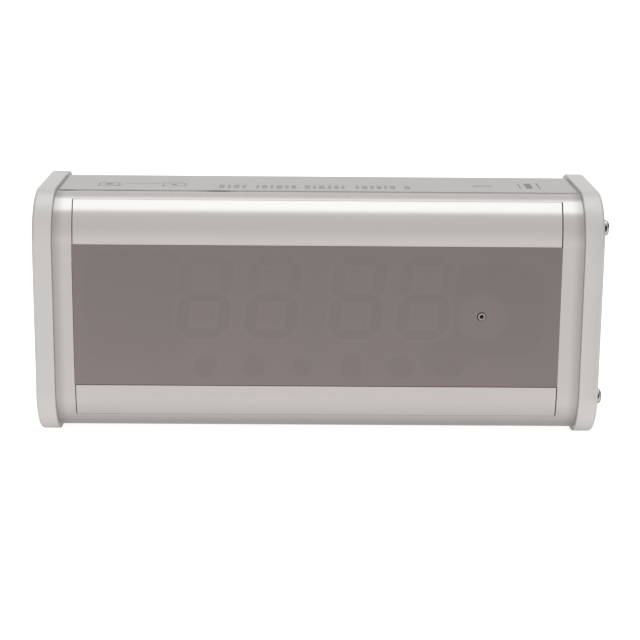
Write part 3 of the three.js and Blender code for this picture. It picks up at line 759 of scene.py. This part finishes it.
def bar_distance(x, z, centre_x, centre_z, half_x, half_z, corner):
    """Distance to a rounded bar, in millimetres, negative inside."""
    dx = np.abs(x - centre_x) - half_x + corner
    dz = np.abs(z - centre_z) - half_z + corner
    outside = np.hypot(np.maximum(dx, 0), np.maximum(dz, 0))
    return outside + np.minimum(np.maximum(dx, dz), 0) - corner


def mitred_bar(along, across, half_length, half_width):
    """Distance to a digit's segment, a bar with pointed ends."""
    points = (np.abs(along) + np.abs(across) - half_length) * sqrt(0.5)
    return np.maximum(np.abs(across) - half_width, points)


def inside(distance, softness):
    """1 inside a shape and 0 outside, with a soft edge."""
    return 1 / (1 + np.exp(np.clip(distance / softness, -30, 30)))


def line_at(distance, width):
    """A soft line along a shape's edge."""
    return np.exp(-(distance / width) ** 2)


def film_ghosts_and_painted_shade(x, z):
    """How much lighter or darker the film is at each place, in millimetres, as a factor: painted
    shading and the marks of what lies behind.
    """
    # Painted shading: lighter towards the bottom and darker towards the right, as the light falls.
    tone = 1 + 0.12 * (1 - (z - film_low.z / MM) / 63) - 0.035 * (x / 110)
    # A stain on the left, the colon's block in the middle, and a pool on the right.
    left = bar_distance(x, z, -81.5, 60.5, 21, 25, 9)
    tone -= 0.028 * inside(left, 1.2) * (x < -60)
    tone -= 0.032 * line_at(left, 0.7) * (x < -62) * (z > 38)
    tone -= 0.02 * inside(bar_distance(x, z, -2.6, 64.5, 6, 21.5, 3), 1.2)
    pool = np.minimum(
        bar_distance(x, z, 78, 60.5, 20.5, 21, 12), np.hypot((x - 56) / 1.15, z - 39) - 9.5)
    stain = 0.05 * inside(pool, 0.8)
    halo = np.hypot(x - microphone.x / MM, z - microphone.z / MM) - HALO
    tone += 0.075 * inside(halo, 0.9) + 0.012 * line_at(halo, 0.8)
    for centre in digit_centres:
        up = z - centre.z / MM
        across = x - centre.x / MM - up * DIGIT_LEAN
        rows = [mitred_bar(across, up - row * 16.6, 8.3, 2.2) for row in (-1, 0, 1)]
        columns = [
            mitred_bar(up - row * 8.4, across - side * 9, 8.0, 2.7)
            for side in (-1, 1) for row in (-1, 1)]
        segments = np.minimum.reduce(rows + columns)
        fade = 0.6 + 0.4 * (up < 1)
        tone += 0.055 * line_at(segments - 0.75, 0.5) * fade
        stain = np.maximum(stain, 0.06 * inside(segments, 0.3) * fade)
    for number, (width, height, shift) in enumerate(KEY_MARKS, 1):
        key = centre_of(f"key_{number}")
        mark = (width / 2) * (np.hypot(
            (x - key.x / MM - shift) / (width / 2),
            (z - key.z / MM + KEY_MARK_DROP) / (height / 2)) - 1)
        tone += 0.03 * line_at(mark - 0.6, 0.6)
        stain = np.maximum(stain, 0.058 * inside(mark, 0.5))
    return tone - stain


def display_film():
    """The film as a fine grid in front, so that it can carry its marks, with its hole."""
    side_reach, foot_gap, top_gap = 0.2 * MM, 0.25 * MM, 0.05 * MM
    low = Vector((film_low.x - side_reach, film_low.y, WINDOW_BOTTOM + foot_gap))
    high = Vector((film_high.x + side_reach, film_high.y, WINDOW_TOP - top_gap))
    size = high - low
    bm = bmesh.new()
    bmesh.ops.create_grid(bm, x_segments=430, y_segments=128, size=0.5)
    span = max(v.co.x for v in bm.verts) - min(v.co.x for v in bm.verts)
    middle = (low + high) / 2
    place = (
        Matrix.Translation((middle.x, film_low.y, middle.z)) @ Matrix.Rotation(pi / 2, 4, "X")
        @ Matrix.Diagonal((size.x / span, size.z / span, 1, 1)))
    bmesh.ops.transform(bm, matrix=place, verts=bm.verts)
    bm.normal_update()
    if bm.faces[:][0].normal.y > 0:
        bmesh.ops.reverse_faces(bm, faces=bm.faces)
    rim = [e for e in bm.edges if e.is_boundary]
    grown = bmesh.ops.extrude_edge_only(bm, edges=rim)["geom"]
    back = [v for v in grown if isinstance(v, bmesh.types.BMVert)]
    bmesh.ops.translate(bm, vec=(0, size.y, 0), verts=back)
    bmesh.ops.edgeloop_fill(bm, edges=[e for e in bm.edges if e.is_boundary])
    bmesh.ops.recalc_face_normals(bm, faces=bm.faces)
    front = film_low.y / MM
    hole = turned(
        [(0, front - 1), (2.15, front - 1), (2.15, front - 0.03), (2, front + 0.15),
         (2, front + 2), (0, front + 2)], "y", (MICROPHONE_HOLE.x, 0, MICROPHONE_HOLE.z), 40)
    return combine(bm, hole, "DIFFERENCE")


film = make_piece(
    "display_film", display_film(), smoked_film, "case", ["front_film"])
film_points = np.zeros(len(film.data.vertices) * 3)
film.data.vertices.foreach_get("co", film_points)
film_points = film_points.reshape(-1, 3) / MM
film.data.attributes.new("ghosts_and_painted_shade", "FLOAT", "POINT").data.foreach_set(
    "value", film_ghosts_and_painted_shade(film_points[:, 0], film_points[:, 2]).astype(np.float32))


# ---- Microphone boot, speaker and power inlet ----

boot_low, boot_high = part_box("microphone_boot")
tip, back = film_low.y / MM + 0.05, boot_high.y / MM
flange = boot_low.y / MM + 3.7
nozzle_offset = 0.17 * MM  # the boot sits a little off the hole's centre
make_piece("microphone_nozzle", turned([
    (0.9, tip + 0.3), (1.0, tip + 0.05), (1.25, tip), (1.55, tip + 0.1), (1.75, tip + 0.35),
    (1.75, flange), (10, flange), (10.2, flange + 0.2), (10.2, flange + 1.2), (6.5, flange + 1.2),
    (6.5, back), (5, back), (5, flange + 1), (0.9, flange + 1), (0.9, tip + 0.3),
], "y", (MICROPHONE_HOLE.x + nozzle_offset, 0, MICROPHONE_HOLE.z - nozzle_offset), 40),
    grey_silicone, "case", ["microphone_boot"])

cone_centre = (speaker.x, 0, speaker.z)
make_piece("speaker_cone_pressing", turned([
    (0, 31.6), (2.4, 31.45), (4.5, 31), (6.2, 30), (7.4, 28.9), (7.6, 28.8), (12, 31.2),
    (16, 33.6), (20.5, 36.3), (21, 36.7), (21.1, 36.1), (20.9, 35.5), (16, 32.7), (12, 30.2),
    (7.6, 27.6), (7.6, 14), (6.9, 14), (6.9, 28.2), (4.2, 30.2), (0, 30.8),
], "y", cone_centre, 64), paper_pulp, "speaker_cone", ["speaker_cone"])
make_piece("cone_surround", turned([
    (20.7, 36.5), (21.2, 37.1), (21.9, 37.5), (22.6, 37.6), (23.2, 37.3), (23.6, 36.95),
    (24.4, 36.9), (24.4, 36.2), (23.3, 36.2), (22.9, 36.6), (22.4, 36.8), (21.8, 36.5),
    (21.2, 35.9), (20.7, 36.5),
], "y", cone_centre, 64), foam_rubber, "speaker_cone")

inlet_low, inlet_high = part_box("power_inlet")
rim, root = inlet_high.y / MM, inlet_low.y / MM
inlet_place = (inlet.x, 0, inlet.z)
make_piece("power_inlet_socket", turned(
    [(0, root), (3.7, root)] + threaded(root + 0.4, rim - 2.6, 4, 0.7) + [
        (3.9, rim - 1.4), (5.3, rim - 1.4), (5.5, rim - 1.2), (5.5, rim - 0.35), (5.15, rim),
        (3.6, rim), (3.2, rim - 0.4), (3.2, rim - 9.4), (0, rim - 9.4)], "y", inlet_place, 48),
    black_abs, "case", ["power_inlet"])
make_piece("power_inlet_pin", turned([
    (0, rim - 9.45), (1.05, rim - 9.45), (1.05, rim - 2), (0.85, rim - 1.6), (0.4, rim - 1.4),
    (0, rim - 1.4),
], "y", inlet_place, 24), nickel_plate, "case")


# ---- Finishes of the nodes that are shown as they are ----

node_finishes = {
    black_abs: ["front_carrier"] + [f"key_switch_{i}" for i in range(1, 7)],
    white_abs: [f"led_digit_{i}" for i in range(1, 5)] + [f"key_{i}" for i in range(1, 7)],
    solder_resist: ["display_board", "main_board"],
    foam_rubber: ["speaker_gasket", "microphone"],
    powder_painted_steel: ["speaker_frame"],
    zinc_plate: ["speaker_magnet"],
    nickel_plate: ["radio_module", "power_inlet_nut"]
    + [f"board_screw_{i}" for i in range(1, 5)] + [f"speaker_nut_{i}" for i in range(1, 5)],
    ribbed_pvc: ["flat_cable"],
    black_pvc: ["speaker_lead"],
}
for finish, names in node_finishes.items():
    for name in names:
        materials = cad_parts[name].data.materials
        materials.clear()
        materials.append(finish)


# ---- Floor and light ----

# The floor glows like a translucent table lit from below, with a painted shadow under the object
# and a painted pool of light just in front: glow by distance from the object's middle, as a share
# of 300 mm.
PAINTED_FLOOR_LIGHT = (
    (0.0, 0.27), (0.1, 0.3), (0.14, 0.48), (0.19, 0.56), (0.27, 0.53), (0.5, 0.5), (0.8, 0.47))
SEEN_GLOW = 0.6  # how much brighter the floor is where it is seen directly


def set_ramp(ramp, stops):
    """Gives a colour ramp grey stops at these positions, in place of its own two."""
    for position, value in stops:
        ramp.elements.new(position).color = (value, value, value, 1)
    ramp.elements.remove(ramp.elements[-1])
    ramp.elements.remove(ramp.elements[0])


def floor_material():
    """Matt white studio floor: its glow holds a painted shadow under the object, and it comes out
    as plain white where seen directly.
    """
    material, tree, shader, place = start_material(
        "matt_white_floor", Roughness=0.9, **{"Specular IOR Level": 0.0})
    shader.inputs["Base Color"].default_value = linear("A8A8A8")
    y = add_node(tree, "ShaderNodeSeparateXYZ", {"Vector": place}).outputs["Y"]
    away = add_node(tree, "ShaderNodeMath", {0: y}, operation="ABSOLUTE").outputs["Value"]
    away = add_node(
        tree, "ShaderNodeMapRange", {"Value": away, "From Max": 0.3}).outputs["Result"]
    # The glow ramp paints the shadow under the object and the pool of light in front.
    glow = add_node(tree, "ShaderNodeValToRGB", {"Fac": away})
    set_ramp(glow.color_ramp, PAINTED_FLOOR_LIGHT)
    seen = add_node(tree, "ShaderNodeLightPath").outputs["Is Camera Ray"]
    strength = add_node(
        tree, "ShaderNodeMath", {0: seen, 1: SEEN_GLOW, 2: glow.outputs["Color"]},
        operation="MULTIPLY_ADD")
    tree.links.new(strength.outputs["Value"], shader.inputs["Emission Strength"])
    shader.inputs["Emission Color"].default_value = (1, 1, 1, 1)
    return material


floor_bm = bmesh.new()
bmesh.ops.create_grid(floor_bm, x_segments=4, y_segments=4, size=30)
floor = loose_object("studio_floor", floor_bm)
floor.data.materials.append(floor_material())

world = bpy.data.worlds.new("studio")
scene.world = world
world.use_nodes = True
sky = world.node_tree
sky.nodes.clear()
direction = add_node(sky, "ShaderNodeTexCoord").outputs["Generated"]
axes = add_node(sky, "ShaderNodeSeparateXYZ", {"Vector": direction})
brightness = add_node(sky, "ShaderNodeValToRGB", {"Fac": axes.outputs["Z"]})
set_ramp(brightness.color_ramp, ((0.0, 0.8), (0.35, 0.69), (0.6, 0.62), (0.8, 0.64), (0.95, 0.65)))
# The room is dark beyond the right-hand side of the lights, and dimmer beyond the left.
right_side, left_side = [
    add_node(
        sky, "ShaderNodeMapRange",
        {"Value": axes.outputs["X"], "From Min": start, "From Max": end, "To Min": at_start,
         "To Max": at_end}).outputs["Result"]
    for start, end, at_start, at_end in ((0.6, 0.82, 1.0, 0.08), (-0.85, -0.5, 0.15, 1.0))]
sides = add_node(
    sky, "ShaderNodeMath", {0: right_side, 1: left_side}, operation="MULTIPLY")
background = add_node(
    sky, "ShaderNodeBackground",
    {"Color": brightness.outputs["Color"], "Strength": sides.outputs["Value"]})
add_node(sky, "ShaderNodeOutputWorld", {"Surface": background.outputs["Background"]})

# One large softbox overhead, a little behind: its reflection is the band along the upper strip.
light = bpy.data.lights.new("overhead_softbox", "AREA")
light.shape, light.size, light.size_y = "RECTANGLE", 1.2, 1.24
light.energy, light.color = 3.4, (0.875, 0.95, 0.99)
softbox = bpy.data.objects.new("overhead_softbox", light)
softbox.location = (0, 0.32, 1.6)
scene.collection.objects.link(softbox)

# Two small dark flags near the right-hand screws, which only reflections show. They stand
# edge-on to the case, so that it hardly reflects them.
flag_shape = together([
    block((0, -0.0003, foot), (0.018, 0.0003, head))
    for foot, head in ((0.0, 0.066), (0.071, 0.143))])
bmesh.ops.transform(
    flag_shape, verts=flag_shape.verts,
    matrix=Matrix.Translation((0.1285, -0.0715, 0)) @ Matrix.Rotation(-pi / 4, 4, "Z"))
flag = loose_object("dark_flags", flag_shape)
flag_material, _, flag_shader, _ = start_material("black_flag_cloth", Roughness=1.0)
flag_shader.inputs["Base Color"].default_value = linear("0A0A0A")
flag.data.materials.append(flag_material)
flag.visible_camera = flag.visible_diffuse = flag.visible_shadow = False
